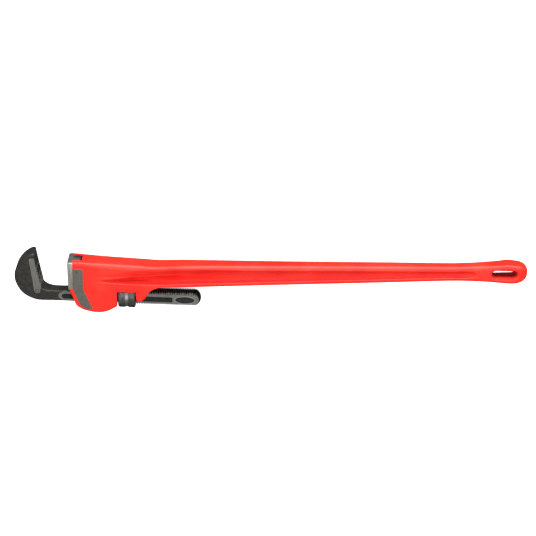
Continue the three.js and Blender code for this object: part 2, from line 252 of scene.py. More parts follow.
def surface_of(name, field, *axes):
    """A quad mesh of the surface where field(x, y, z) is 0.

    It is made by surface nets on a grid of places along each axis, then settled onto the surface.
    """
    values = np.empty([len(a) for a in axes], np.float32)
    plane = np.meshgrid(axes[1], axes[2], indexing="ij")
    for start in range(0, len(axes[0]), 64):
        x = axes[0][start:start + 64]
        shape = (len(x),) + plane[0].shape
        values[start:start + 64] = field(
            np.broadcast_to(x[:, None, None], shape), np.broadcast_to(plane[0], shape),
            np.broadcast_to(plane[1], shape))
    inside = values < 0
    corners = [(i, j, k) for i in (0, 1) for j in (0, 1) for k in (0, 1)]
    cells = tuple(n - 1 for n in values.shape)

    def at(array, corner):
        return array[tuple(slice(c, c + n) for c, n in zip(corner, cells))]

    filled = sum(at(inside, c).astype(np.int8) for c in corners)
    mixed = (filled > 0) & (filled < 8)
    cell = np.argwhere(mixed)
    index = np.full(cells, -1, np.int64)
    index[mixed] = np.arange(len(cell))
    total = np.zeros((len(cell), 3))
    hits = np.zeros(len(cell))
    here = {c: values[tuple((cell + c).T)] for c in corners}
    for c in corners:
        for k in range(3):
            if c[k]:
                continue
            d = tuple(v + (m == k) for m, v in enumerate(c))
            a, b = here[c], here[d]
            cut = (a < 0) != (b < 0)
            t = np.where(cut, a / np.where(cut, a - b, 1), 0)
            point = np.array(c, float)[None, :] + np.eye(3)[k][None, :] * t[:, None]
            total += np.where(cut[:, None], point, 0)
            hits += cut
    share = total / hits[:, None]
    starts = np.stack([axes[k][cell[:, k]] for k in range(3)], 1)
    sizes = np.stack([axes[k][cell[:, k] + 1] - axes[k][cell[:, k]] for k in range(3)], 1)
    vertices = settle(field, starts + share * sizes, sizes)
    faces = []
    for k in range(3):
        m, n = (k + 1) % 3, (k + 2) % 3
        a = [slice(1, -1)] * 3
        b = [slice(1, -1)] * 3
        a[k], b[k] = slice(0, -1), slice(1, None)
        first, second = inside[tuple(a)], inside[tuple(b)]
        crossing = np.argwhere(first != second)
        leaving = first[tuple(crossing.T)]
        base = crossing + 1
        base[:, k] -= 1
        quad = []
        for dm, dn in ((0, 0), (1, 0), (1, 1), (0, 1)):
            corner = base.copy()
            corner[:, m] -= 1 - dm
            corner[:, n] -= 1 - dn
            quad.append(index[tuple(corner.T)])
        quad = np.stack(quad, 1)
        quad[~leaving] = quad[~leaving][:, ::-1]
        faces.append(quad)
    return mesh_object(name, vertices, np.concatenate(faces))


def settle(field, vertices, sizes):
    """Moves each vertex onto the field's surface along the field's slope, within its own cell's size."""
    nudge = 0.15
    start = vertices.copy()
    for _ in range(3):
        x, y, z = vertices.T
        value = field(x, y, z)
        slope = np.stack([(field(x + nudge, y, z) - field(x - nudge, y, z)),
                          (field(x, y + nudge, z) - field(x, y - nudge, z)),
                          (field(x, y, z + nudge) - field(x, y, z - nudge))], 1) / (2 * nudge)
        steep = np.maximum((slope ** 2).sum(1), 0.25)
        vertices = vertices - slope * (value / steep)[:, None]
        vertices = start + np.clip(vertices - start, -0.6 * sizes, 0.6 * sizes)
    return vertices


# Mesh helpers --------------------------------------------------------------------------------

def mesh_object(name, vertices, faces, smooth=True):
    """An object from millimetre vertices, placed in the frame."""
    mesh = bpy.data.meshes.new(name)
    placed = np.asarray(vertices, float) * MM + np.array(CENTRE)
    mesh.from_pydata(placed.tolist(), [], [list(map(int, f)) for f in faces])
    mesh.validate()
    mesh.shade_smooth() if smooth else mesh.shade_flat()
    made = bpy.data.objects.new(name, mesh)
    bpy.context.scene.collection.objects.link(made)
    return made


def prism(name, polygon, low_z, high_z):
    """A closed prism over a polygon in XY."""
    polygon = np.array(polygon, float)
    area = np.sum(polygon[:, 0] * np.roll(polygon[:, 1], -1) - np.roll(polygon[:, 0], -1) * polygon[:, 1])
    if area < 0:
        polygon = polygon[::-1]
    count = len(polygon)
    vertices = [(x, y, z) for z in (low_z, high_z) for x, y in polygon]
    faces = [list(range(count))[::-1], list(range(count, 2 * count))]
    faces += [[i, (i + 1) % count, count + (i + 1) % count, count + i] for i in range(count)]
    return mesh_object(name, vertices, faces, smooth=False)


def block(name, low, high):
    """A closed box between two corners."""
    (x0, y0, z0), (x1, y1, z1) = low, high
    return prism(name, [(x0, y0), (x1, y0), (x1, y1), (x0, y1)], z0, z1)


def circle(x, y, radius, count=48, start=0.0, end=2 * math.pi):
    """Points round a circle, or along an arc with both its ends."""
    whole = abs(end - start - 2 * math.pi) < 1e-9
    angles = np.linspace(start, end, count, endpoint=not whole)
    return [(x + radius * math.cos(a), y + radius * math.sin(a)) for a in angles]


def revolve(name, profile, axis, at=(0, 0, 0), sides=64):
    """A solid of revolution. profile is (radius, along) pairs from pole to pole, axis is x, y or z."""
    vertices, faces = [], []
    rings = []
    for radius, along in profile:
        if radius < 1e-9:
            rings.append([len(vertices)])
            vertices.append((0.0, 0.0, along))
            continue
        rings.append(list(range(len(vertices), len(vertices) + sides)))
        for k in range(sides):
            a = 2 * math.pi * k / sides
            vertices.append((radius * math.cos(a), radius * math.sin(a), along))
    for lower, upper in zip(rings, rings[1:]):
        for k in range(sides):
            n = (k + 1) % sides
            if len(lower) == 1:
                faces.append([lower[0], upper[n], upper[k]])
            elif len(upper) == 1:
                faces.append([lower[k], lower[n], upper[0]])
            else:
                faces.append([lower[k], lower[n], upper[n], upper[k]])
    order = {"x": [2, 0, 1], "y": [1, 2, 0], "z": [0, 1, 2]}[axis]
    vertices = np.array(vertices)[:, order] + np.array(at)
    return mesh_object(name, vertices, faces)


def share_materials(target, tool):
    """Gives both meshes one list of materials, so that each face keeps its own through a cut or a join."""
    shared = list(target.materials)
    shared += [material for material in tool.materials if material not in shared]
    for mesh in (target, tool):
        own = list(mesh.materials) or shared[:1]
        indices = np.zeros(len(mesh.polygons), np.int32)
        mesh.polygons.foreach_get("material_index", indices)
        turned = np.array([shared.index(m) for m in own])[indices]
        mesh.materials.clear()
        for material in shared:
            mesh.materials.append(material)
        mesh.polygons.foreach_set("material_index", turned.astype(np.int32))


def combine(target, tool, operation):
    """Joins or cuts target with tool, and removes tool."""
    share_materials(target.data, tool.data)
    modifier = target.modifiers.new("combine", "BOOLEAN")
    modifier.operation = operation
    modifier.solver = "MANIFOLD"
    modifier.object = tool
    apply_modifiers(target)
    mesh = tool.data
    bpy.data.objects.remove(tool)
    bpy.data.meshes.remove(mesh)


def tube(name, points, radius, fineness=4):
    """A round wire along the points, in millimetres."""
    curve = bpy.data.curves.new(name, "CURVE")
    curve.dimensions = "3D"
    spline = curve.splines.new("POLY")
    spline.points.add(len(points) - 1)
    placed = np.asarray(points, float) * MM + np.array(CENTRE)
    for point, (x, y, z) in zip(spline.points, placed):
        point.co = (x, y, z, 1)
    curve.bevel_depth = radius * MM
    curve.bevel_resolution = fineness
    curve.use_fill_caps = True
    wire = bpy.data.objects.new(name, curve)
    bpy.context.scene.collection.objects.link(wire)
    graph = bpy.context.evaluated_depsgraph_get()
    mesh = bpy.data.meshes.new_from_object(wire.evaluated_get(graph), depsgraph=graph)
    bpy.data.objects.remove(wire)
    bpy.data.curves.remove(curve)
    made = bpy.data.objects.new(name, mesh)
    bpy.context.scene.collection.objects.link(made)
    mesh.shade_smooth()
    return made


def apply_modifiers(piece):
    """Replaces a piece's mesh by the one that its modifiers make."""
    graph = bpy.context.evaluated_depsgraph_get()
    made = bpy.data.meshes.new_from_object(piece.evaluated_get(graph), depsgraph=graph)
    piece.modifiers.clear()
    old = piece.data
    piece.data = made
    bpy.data.meshes.remove(old)


def soften(piece, width, segments=2, angle=35):
    """Breaks the sharp edges of a machined piece."""
    modifier = piece.modifiers.new("soften", "BEVEL")
    modifier.width = width * MM
    modifier.segments = segments
    modifier.limit_method = "ANGLE"
    modifier.angle_limit = math.radians(angle)
    modifier.harden_normals = False
    apply_modifiers(piece)


def shade_by_angle(piece, degrees):
    """Smooth shading, except across edges sharper than the angle."""
    piece.data.shade_smooth()
    piece.data.set_sharp_from_angle(angle=math.radians(degrees))


# Materials -----------------------------------------------------------------------------------

def linear(red, green, blue):
    """Linear light from a colour in 0 to 255 steps."""
    shares = [value / 255 for value in (red, green, blue)]
    return tuple(s / 12.92 if s <= 0.04045 else ((s + 0.055) / 1.055) ** 2.4 for s in shares) + (1.0,)


class Surface:
    """One procedural material, built node by node in the piece's own coordinates."""

    def __init__(self, name, **sockets):
        self.material = bpy.data.materials.new(name)
        self.material.use_nodes = True
        self.tree = self.material.node_tree
        self.shader = self.tree.nodes["Principled BSDF"]
        self.place = self.add("ShaderNodeTexCoord").outputs["Object"]
        for socket, value in sockets.items():
            self.shader.inputs[socket.replace("_", " ")].default_value = value

    def add(self, kind, links=None, **settings):
        node = self.tree.nodes.new(kind)
        for key, value in settings.items():
            setattr(node, key, value)
        for socket, source in (links or {}).items():
            if isinstance(source, bpy.types.NodeSocket):
                self.tree.links.new(source, node.inputs[socket])
            else:
                node.inputs[socket].default_value = source
        return node

    def noise(self, size, detail=3.0, stretch=(1, 1, 1)):
        """Noise with features of about size millimetres, drawn out along the stretched axes."""
        scale = [1 / (MM * size * s) for s in stretch]
        placed = self.add("ShaderNodeMapping", {"Vector": self.place, "Scale": scale})
        links = {"Vector": placed.outputs[0], "Scale": 1.0, "Detail": detail}
        texture = self.add("ShaderNodeTexNoise", links)
        return texture.outputs[0]

    def spread(self, source, low, high, to_low=0.0, to_high=1.0):
        """The source's low to high, turned into to_low to to_high and kept there."""
        node = self.add("ShaderNodeMapRange", {0: source, 1: low, 2: high, 3: to_low, 4: to_high})
        return node.outputs[0]

    def blend(self, share, first, second):
        """The first colour where share is 0, the second where it is 1."""
        links = {"Factor": share, 6: first, 7: second}
        return self.add("ShaderNodeMix", links, data_type="RGBA").outputs[2]

    def product(self, first, second):
        return self.add("ShaderNodeMath", {0: first, 1: second}, operation="MULTIPLY").outputs[0]

    def sum(self, first, second, weight):
        """The first value, plus the second times weight."""
        node = self.add("ShaderNodeMath", {0: second, 1: weight, 2: first}, operation="MULTIPLY_ADD")
        return node.outputs[0]

    def edges(self, low, high):
        """1 on sharp outer edges, 0 on flat ground and in corners."""
        return self.spread(self.add("ShaderNodeNewGeometry").outputs["Pointiness"], low, high)

    def corners(self, high, low):
        """1 in inner corners, 0 on flat ground and outer edges."""
        return self.spread(self.add("ShaderNodeNewGeometry").outputs["Pointiness"], high, low)

    def set(self, socket, source):
        self.tree.links.new(source, self.shader.inputs[socket])

    def bump(self, height, depth):
        """Relief of about depth millimetres."""
        node = self.add("ShaderNodeBump", {"Height": height, "Distance": depth * MM, "Strength": 1.0})
        self.set("Normal", node.outputs[0])


RED = (243, 42, 28)
RED_DEEP = (230, 28, 16)
# The next red is painted shade, laid into inner corners, onto the hollow's lower wall and inside the hang hole.
RED_PAINTED_SHADE = (182, 8, 5)
RED_WORN = (255, 92, 80)


def enamel():
    """Glossy red enamel over sand-cast iron: wavy and slightly pitted, with painted shade, a darker red, in
    inner corners, on the hollow's lower wall and inside the hang hole; the last two are also rougher.
    """
    paint = Surface("red_enamel", Metallic=0.0, Coat_Weight=0.1, Coat_Roughness=0.3, Specular_IOR_Level=0.3)
    clouds = paint.noise(70, 2.0)
    speckle = paint.noise(1.6, 2.0)
    colour = paint.blend(paint.spread(clouds, 0.35, 0.65), linear(*RED), linear(*RED_DEEP))
    colour = paint.blend(paint.spread(speckle, 0.55, 0.8, 0, 0.35), colour, linear(*RED_DEEP))
    # Painted shade: darker red in inner corners, found by pointiness.
    colour = paint.blend(paint.corners(0.48, 0.40), colour, linear(*RED_PAINTED_SHADE))
    # Painted shade on the hollow's lower wall and inside the hang hole, from the vertex attribute set on the
    # casting.
    painted_shade = paint.add("ShaderNodeAttribute", attribute_name="painted_shade").outputs["Fac"]
    colour = paint.blend(painted_shade, colour, linear(*RED_PAINTED_SHADE))
    worn = paint.product(paint.spread(paint.noise(9, 3.0), 0.5, 0.62), paint.edges(0.56, 0.66))
    colour = paint.blend(worn, colour, linear(*RED_WORN))
    paint.set("Base Color", colour)
    roughness = paint.spread(paint.noise(14, 3.0), 0.3, 0.7, 0.42, 0.56)
    # Rougher where the shade is painted.
    paint.set("Roughness", paint.sum(roughness, painted_shade, 0.42))
    height = paint.sum(paint.noise(26, 1.0), paint.noise(3.6, 2.0), 0.42)
    height = paint.sum(height, speckle, 0.16)
    paint.bump(height, 0.9)
    return paint.material


def ground_metal(name, light, dark, roughness, stretch=(30, 1, 30)):
    """Machined steel with fine grinding lines drawn out along the stretched axes."""
    metal = Surface(name, Metallic=1.0)
    lines = metal.noise(0.7, 3.0, stretch)
    stains = metal.noise(18, 3.0)
    colour = metal.blend(metal.spread(lines, 0.3, 0.7), linear(*light), linear(*dark))
    colour = metal.blend(metal.spread(stains, 0.52, 0.75, 0, 0.5), colour, linear(*dark))
    metal.set("Base Color", colour)
    metal.set("Roughness", metal.spread(lines, 0.25, 0.75, roughness - 0.06, roughness + 0.1))
    metal.bump(lines, 0.05)
    return metal.material


def dark_metal(name, base, worn, roughness, metallic=0.7, grain=1.6, depth=0.12, edge=(0.53, 0.62)):
    """Blackened steel, rubbed lighter along its edges and grainy between them."""
    metal = Surface(name, Metallic=metallic)
    grains = metal.noise(grain, 3.0)
    patches = metal.noise(11, 4.0)
    darker = tuple(0.72 * value for value in base)
    colour = metal.blend(metal.spread(patches, 0.35, 0.65), linear(*base), linear(*darker))
    rubbed = metal.product(metal.spread(metal.noise(5, 3.0), 0.25, 0.5), metal.edges(*edge))
    metal.set("Base Color", metal.blend(rubbed, colour, linear(*worn)))
    metal.set("Roughness", metal.spread(patches, 0.3, 0.7, roughness - 0.08, roughness + 0.1))
    metal.bump(metal.sum(patches, grains, 0.5), depth)
    return metal.material


PAINT = enamel()
GROUND = ground_metal("ground_land", (146, 146, 138), (108, 108, 101), 0.38)
GROUND_DARK = ground_metal("ground_shank", (158, 158, 152), (108, 108, 103), 0.42)
STRIP_METAL = ground_metal("ground_strip", (162, 161, 154), (110, 109, 103), 0.4, (1, 30, 30))
RIM_METAL = ground_metal("ground_rim", (206, 206, 200), (160, 160, 154), 0.36)
HEEL_METAL = ground_metal("heel_steel", (196, 197, 190), (146, 147, 140), 0.4)
FORGED = dark_metal("black_forging", (62, 61, 57), (124, 122, 116), 0.46, depth=0.4, grain=2.4)
THREAD = dark_metal("oiled_thread", (24, 24, 24), (128, 128, 126), 0.42, 0.8, 0.8, 0.04, (0.53, 0.6))
CHANNEL_DARK = dark_metal("channel_floor", (46, 46, 48), (90, 90, 92), 0.6)
NUT_METAL = dark_metal("nut_steel", (70, 69, 67), (140, 139, 136), 0.38, 0.8, 1.2, 0.06, (0.51, 0.57))
# The valley's lighter turned steel is partly its real finish and partly a painted highlight, for the bright
# stripe along it.
VALLEY_METAL_WITH_HIGHLIGHT = ground_metal("turned_valley_and_highlight", (150, 149, 146), (104, 103, 100), 0.34, (1, 30, 30))
BARE_CUT = ground_metal("drilled_steel", (120, 120, 120), (80, 80, 82), 0.45, (1, 1, 20))
BLUED = dark_metal("blued_spring", (70, 74, 88), (150, 150, 155), 0.3, 0.9, 0.8, 0.03)


# Handle and head, one casting ----------------------------------------------------------------

def centre_y(x):
    return BEAM_START[1] + HANDLE_SLOPE * (x - BEAM_START[0])


def station(x, column):
    """Height (column 1) or thickness (column 2) of the beam at x, along a smooth curve."""
    fine = np.array(smooth_curve(STATIONS[:, [0, column]], 12) + [STATIONS[-1, [0, column]]])
    return np.interp(x, fine[:, 0], fine[:, 1])


def edge(x, side, inset=0.0):
    """A point on the beam's upper (side 1) or lower (side -1) edge, or inset from it."""
    return (x, float(centre_y(x) + side * (station(x, 1) / 2 - inset)))


def casting_outline():
    """The silhouette of the head, the beam and the rounded end, seen from the side."""
    along = (150, 227, 349, 471, 593, 715, 800, 877, 920, 958, 985, 1010, 1030)
    upper = [edge(x, 1, -CROWN) for x in along]
    lower = [edge(x, -1) for x in along[::-1]]
    end_y = centre_y(BULB_START_X)
    bulb = []
    for angle in np.linspace(math.pi / 2, -math.pi / 2, 17)[1:-1]:
        out = math.cos(angle) ** BULB_SQUARENESS
        up = math.copysign(abs(math.sin(angle)) ** BULB_SQUARENESS, angle)
        bulb.append((BULB_START_X + (BULB_END_X - BULB_START_X) * out,
                     end_y + BULB_RISE * out + BULB_HALF * up))
    top = [(-165, 115.2), (-75, 111.2), (33, 107.8), (90, 106.1)]
    under = [(96, 42.6), (82, 39.2), (69.5, 33.0), (61, 24.5), (55, 13.5), (49.5, 4.2), (42, -2.2),
             (34, -4.3), (27.5, -2.0), (24, 3)]
    belly = [(-24, -22.0), (-52, -39.4), (-79, -45), (-107, -41), (-129, -32), (-140, -19), (-147, 4),
             (-156, 27)]
    return outline(top + upper + bulb + lower + under, (15, 0), belly, (-165, 30))


def recess_outline():
    """The hollow that leaves the beam's web, pointed where it runs out on the head."""
    along = (100, 160, 227, 349, 471, 593, 715, 800, 877, 915)
    tip = (HOLLOW_START_X, 55)
    upper = [tip, (-40, 68), (20, 81)] + [edge(x, 1, FLANGE) for x in along]
    end = [(937, centre_y(937) + 8), (945, centre_y(945)), (937, centre_y(937) - 8)]
    lower = [edge(x, -1, FLANGE) for x in along[::-1]] + [(20, 51.0), (-30, 51.8)]
    return outline(upper + end + lower)


def hang_hole_outline():
    """The slot in the handle's end, with round ends."""
    x, y, half, radius = HANG_HOLE
    quarter = math.pi / 2
    far = circle(x + half, y + HANG_HOLE_SLANT, radius, 25, -quarter, quarter)
    near = circle(x - half, y - HANG_HOLE_SLANT, radius, 25, quarter, 3 * quarter)
    return np.array(far + near)


CASTING = OutlineField(casting_outline())
RECESS = OutlineField(recess_outline())
HOLE = OutlineField(hang_hole_outline())


def casting_half(x):
    """Half the casting's thickness: the head is even, the beam tapers from it, and the bulb thins out."""
    head_end, change = 45.0, 100.0
    share = ease((x - head_end) / change)
    bulb = np.clip((x - BULB_START_X) / (BULB_END_X - BULB_START_X), 0, 1)
    return (HEAD_HALF * (1 - share) + station(x, 2) / 2 * share) * np.sqrt(1 - 0.55 * bulb ** 2.4)


def edge_radius(x, y):
    """Radius of the casting's outer edges: broad along the top, tight along the bottom."""
    along = [-150, -115, -60, 60, 400, 900, 1040]
    top = np.interp(x, along, [7.0, 9.0, 12.0, 14.0, 14.5, 12.5, 10.5])
    bottom = np.interp(x, along, [3.0, 3.0, 3.0, 3.0, 3.2, 3.5, 5.5])
    lower = np.clip((centre_y(x) - y) / 25.0, 0, 1)
    return top + (bottom - top) * lower


def hollow_floor(x, y):
    """Height of the hollow's floor: a scoop below a sharp lower edge on the head, flat along the beam."""
    half = casting_half(x)
    along = [HOLLOW_START_X, -40, -30, 20, 100, 300]
    low_edge = np.interp(x, along, [55.0, 52.4, 51.8, 51.0, 52.3, 64.8])
    width = np.interp(x, along, [3.0, 15.0, 17.5, 30.0, 42.0, 38.0])
    climb = ease((y - low_edge - 2) / (width - 2)) * np.interp(x, [HOLLOW_START_X, 60, 300], [1.0, 0.9, 0.0])
    fade = np.clip((x - HOLLOW_FADE_X) / (HOLLOW_END_X - HOLLOW_FADE_X), 0, 1) ** 3
    depth = ease((x + 105) / 150) * (1 - climb) * (1 - fade)
    return half - (half - WEB_HALF) * depth


def casting_field(x, y, z):
    """The red casting: its body, less the hollows, the nut's window and the hang hole."""
    height = np.abs(z)
    below_face = casting_half(x) - height
    body = round_and(CASTING(x, y), -below_face, edge_radius(x, y))
    upper = ease((y - centre_y(x) + 4) / 12)
    draft = HOLLOW_DRAFT + upper * np.interp(x, [-80, 60, 300], [1.0, 0.8, 0.15])
    wall = RECESS(x, y) + below_face * draft
    hollow = round_and(wall, hollow_floor(x, y) - height, 3.5 + 3.0 * upper)
    rim = 1.6 + upper * np.interp(x, [-80, 100, 330], [16.0, 13.0, 2.0])
    body = round_and(body, -hollow, rim)
    bore = np.hypot(y, z) - WINDOW_RADIUS
    window = np.maximum(np.abs(x) - WINDOW_HALF, np.minimum(bore, y))
    body = round_and(body, -window, 1.2)
    flare = 4.0 * np.clip(1 - below_face / 9.0, 0, 1) ** 2
    return round_and(body, -(HOLE(x, y) - flare + 1.6), 3.6)


def mark_painted_shade(mesh):
    """Marks each vertex by how much painted shade it gets: on the hollow's lower wall and inside the hang hole.
    """
    places = np.empty(3 * len(mesh.vertices))
    mesh.vertices.foreach_get("co", places)
    x, y, z = ((places.reshape(-1, 3) - np.array(CENTRE)) / MM).T
    height = np.abs(z)
    below_face = casting_half(x) - height
    wall = np.abs(RECESS(x, y) + below_face * HOLLOW_DRAFT)
    in_hollow = (y < centre_y(x)) & (x > HOLLOW_START_X - 8) & (x < HOLLOW_END_X)
    shade_amount = np.where(in_hollow, (1 - ease(wall / SHADE_REACH)) * ease((below_face - 0.4) / 1.8), 0.0)
    # Painted shade inside the hang hole.
    inside_hole = ease((HOLE_SHADE_REACH - np.abs(HOLE(x, y))) / 2.0) * (height < casting_half(x) - 1.5)
    shade_amount = np.maximum(shade_amount, 0.8 * inside_hole)
    mesh.attributes.new("painted_shade", "FLOAT", "POINT").data.foreach_set("value", shade_amount.astype(np.float32))


def land_outline():
    """The ground land on the side of the head, down its front and along its lower rim."""
    return outline((-142.6, 95), (-117.2, 95.6), (-116.4, 94.8), (-116.5, 31), (-92.8, -31.5),
                   [(-93.5, -33.6), (-104, -32.5), (-116.5, -29.8)], (-128.5, -17), (-142.6, 26.5))


def cut_head(handle):
    """Cuts the machined faces of the head: the heel jaw's seat and slot, the passage and the holes."""
    low_y, high_y, half = PASSAGE
    seat = HEEL_BOTTOM_Y - 0.4
    pocket = [(0, 20), (11, 20), (11, 77), (0, 77)]
    pin_x, pin_y, pin_radius = HEEL_PIN
    passage = block("passage", (-190, low_y, -half), (72, high_y, half))
    soften(passage, 3.0, 3)
    cutters = [
        (block("seat", (-190, seat, -60), (HEAD_FRONT_X, 160, 60)), PAINT),
        (block("front", (-190, -80, -60), (-158, 160, 60)), PAINT),
        (block("slot", (-190, 47, -SLOT_HALF), (SLOT_END_X, 160, SLOT_HALF)), CHANNEL_DARK),
        (prism("pin_hole", circle(pin_x, pin_y, pin_radius + 0.15), -60, 60), BARE_CUT),
        (revolve("pocket", pocket, "y", at=(SPRING_PIN[0], 0, 0), sides=40), PAINT),
        (passage, PAINT),
    ]
    for cutter, metal in cutters:
        cutter.data.materials.clear()
        cutter.data.materials.append(metal)
        combine(handle, cutter, "DIFFERENCE")


def make_handle():
    """The casting with its ground lands."""
    margin = 3.0
    coarse = 1.0
    along = spaced((-168, 1.8 * coarse), (115, 5.0 * coarse), (960, 2.0 * coarse), BULB_END_X + margin)
    across = spaced((local(HANDLE_LOW).y - margin, 1.4 * coarse), local(HANDLE_HIGH).y + margin)
    through = spaced((-HEAD_HALF - margin, 1.4 * coarse), HEAD_HALF + margin)
    handle = surface_of("handle_casting", casting_field, along, across, through)
    handle.data.materials.append(PAINT)
    for side in (-1, 1):
        inner, outer = sorted((side * (HEAD_HALF - 3), side * LAND_HALF))
        land = prism("land", land_outline(), inner, outer)
        land.data.materials.append(PAINT)
        land.data.materials.append(GROUND)
        for face in land.data.polygons:
            face.material_index = int(face.normal.z * side > 0.5)
        combine(handle, land, "UNION")
    cut_head(handle)
    # Sets where shade is painted on the casting.
    mark_painted_shade(handle.data)
    shade_by_angle(handle, 38)
    return finish_piece(handle, "handle", ["handle"])


# Jaws ----------------------------------------------------------------------------------------

HOOK_FACE = (np.array([-232.2, 30.0]), np.array([-245.0, 123.0]))


def hook_outline():
    """The hook and its neck, seen from the side: round at the back, straight along the teeth."""
    throat = [(-198, 14.1), (-206, 14.6), (-216, 16.6), (-226.5, 22.2), tuple(HOOK_FACE[0])]
    back = [(-245.3, 129.0), (-247.4, 131.8), (-253, 131.6), (-263, 127.6), (-281, 111.8), (-297.2, 85.6),
            (-302.8, 57), (-296.8, 28.2), (-279.5, 2.4), (-251, -13.2), (-214, -18.2)]
    return outline((THREAD_START_X, 14.1), throat, tuple(HOOK_FACE[1]), back, (THREAD_START_X, -18.4))


def tooth_cutter(start, end, half, deep):
    """Grooves that leave saw teeth on a face. Their crests run from start to end, with metal on the left."""
    start, end = np.array(start, float), np.array(end, float)
    along = end - start
    count = int(np.linalg.norm(along) // TOOTH_PITCH)
    inward = np.array([-along[1], along[0]]) / np.linalg.norm(along)

    def at(fraction, depth):
        return start + along * fraction + inward * depth

    points = [at(0, -4)]
    for tooth in range(count):
        points += [at((tooth + 0.12) / count, -0.01), at((tooth + 0.30) / count, deep),
                   at((tooth + 0.40) / count, deep), at((tooth + 1) / count, -0.01)]
    points.append(at(1, -4))
    return prism("teeth", points, -half, half)


HOOK = OutlineField(hook_outline(), step=0.5)


def hook_field(x, y, z):
    """The forging: thick at the hook, and narrowing smoothly to the neck."""
    narrowing = ease((x - 0.25 * y + 243) / 48)
    half = (HOOK_HALF - 0.6) * (1 - narrowing) + (SHANK_HALF - 0.7) * narrowing
    return round_and(HOOK(x, y), np.abs(z) - half, 4.2 - 1.7 * narrowing)


def thread_solid(name, low, high, root, crest, crest_half, root_half, sides=72):
    """A right-hand threaded bar along X, wound in rings that climb one pitch a turn.

    It reaches at least a pitch past low and high, so that it can be cut to length.
    """
    rows = [(-crest_half, crest), (crest_half, crest),
            (PITCH / 2 - root_half, root), (PITCH / 2 + root_half, root)]
    per_turn = len(rows)
    first, last = math.floor(low / PITCH) - 2, math.ceil(high / PITCH) + 2
    count = (last - first) * per_turn
    angle = np.arange(sides) * 2 * math.pi / sides
    vertices, grid = [], []
    for row in range(count + per_turn + 1):
        offset, radius = rows[row % per_turn]
        used = angle if row <= count else angle[:1]
        x = (first + row // per_turn + used / (2 * math.pi)) * PITCH + offset
        grid.append(list(range(len(vertices), len(vertices) + len(used))))
        vertices += list(zip(x, radius * np.cos(used), radius * np.sin(used)))

    def at(row, side):
        return grid[row][side] if side < sides else grid[row + per_turn][0]

    faces = [[at(row, side), at(row, side + 1), at(row + 1, side + 1), at(row + 1, side)]
             for row in range(count) for side in range(sides)]
    for row, x, flip in ((0, (first - 1) * PITCH, True), (count, (last + 2) * PITCH, False)):
        rim = [at(row, s) for s in range(sides)] + [grid[row + k][0] for k in range(per_turn, 0, -1)]
        centre = len(vertices)
        vertices.append((x, 0, 0))
        for a, b in zip(rim, rim[1:] + rim[:1]):
            faces.append([centre, b, a] if flip else [centre, a, b])
    return mesh_object(name, vertices, faces)


def make_shank():
    """The threaded shank: a bar with a domed tail, cut flat on both sides."""
    thread = thread_solid("thread", THREAD_START_X, TAIL_X, ROOT_RADIUS, CREST_RADIUS, 1.2, 0.7)
    thread.data.materials.append(THREAD)
    dome = [(CREST_RADIUS * math.cos(a), TAIL_X - TAIL_DOME + TAIL_DOME * math.sin(a))
            for a in np.linspace(0, 1.5, 24)]
    wide = CREST_RADIUS + 1
    profile = [(0, THREAD_START_X), (wide, THREAD_START_X), (wide, TAIL_X - 30)] + dome + [(0, TAIL_X)]
    bar = revolve("bar", profile, "x", sides=96)
    bar.data.materials.append(THREAD)
    combine(thread, bar, "INTERSECT")
    flats = block("flats", (THREAD_START_X - 5, -60, -SHANK_HALF), (TAIL_X + 5, 60, SHANK_HALF))
    flats.data.materials.append(GROUND_DARK)
    combine(thread, flats, "INTERSECT")
    return thread


def make_pad():
    """The ground pad round the channel on the neck."""
    front, low_y, high_y = PAD
    half = (high_y - low_y) / 2
    back = THREAD_START_X + 20
    round_end = circle(front + half, (low_y + high_y) / 2, half, 24, 1.5 * math.pi, 0.5 * math.pi)
    pad = prism("pad", [(back, high_y), (back, low_y)] + round_end, -SHANK_HALF, SHANK_HALF)
    pad.data.materials.append(GROUND_DARK)
    return pad


def make_hook():
    """The hook jaw: a forging with teeth and ground strips, and its threaded shank."""
    margin = 3.0
    step = 1.25
    hook = surface_of("hook_forging", hook_field,
                      spaced((local(HOOK_LOW).x - margin, step), THREAD_START_X + margin),
                      spaced((local(HOOK_LOW).y - margin, step), local(HOOK_HIGH).y + margin),
                      spaced((-HOOK_HALF - margin, step), HOOK_HALF + margin))
    hook.data.materials.append(FORGED)
    combine(hook, hook_strip(), "UNION")
    teeth = tooth_cutter(HOOK_FACE[0] + (0.6, 12), HOOK_FACE[1] + (0.3, -6), 40, HOOK_TOOTH_DEPTH)
    teeth.data.materials.append(THREAD)
    combine(hook, teeth, "DIFFERENCE")
    combine(hook, make_pad(), "UNION")
    combine(hook, make_shank(), "UNION")
    for side in (-1, 1):
        combine(hook, oval_rim(side), "UNION")
    for cutter in foot_rings() + side_hollows(-1) + side_hollows(1):
        combine(hook, cutter, "DIFFERENCE")
    shade_by_angle(hook, 32)
    return finish_piece(hook, "hook_jaw", ["hook_jaw"])


def oval_outline(grown):
    """The oval recess seen from the side, or the oval that lies that far outside it."""
    x, y, long_half, short_half = OVAL[:4]
    return [(x + (long_half + grown) * c, y + (short_half + grown) * s) for c, s in circle(0, 0, 1, 64)]


def oval_rim(side):
    """The thin bright border round the oval recess in one side of the shank."""
    low, high = sorted((side * (SHANK_HALF - 1), side * (SHANK_HALF + OVAL_RIM_HEIGHT)))
    rim = prism("rim", oval_outline(OVAL_RIM), low, high)
    rim.data.materials.append(RIM_METAL)
    return rim


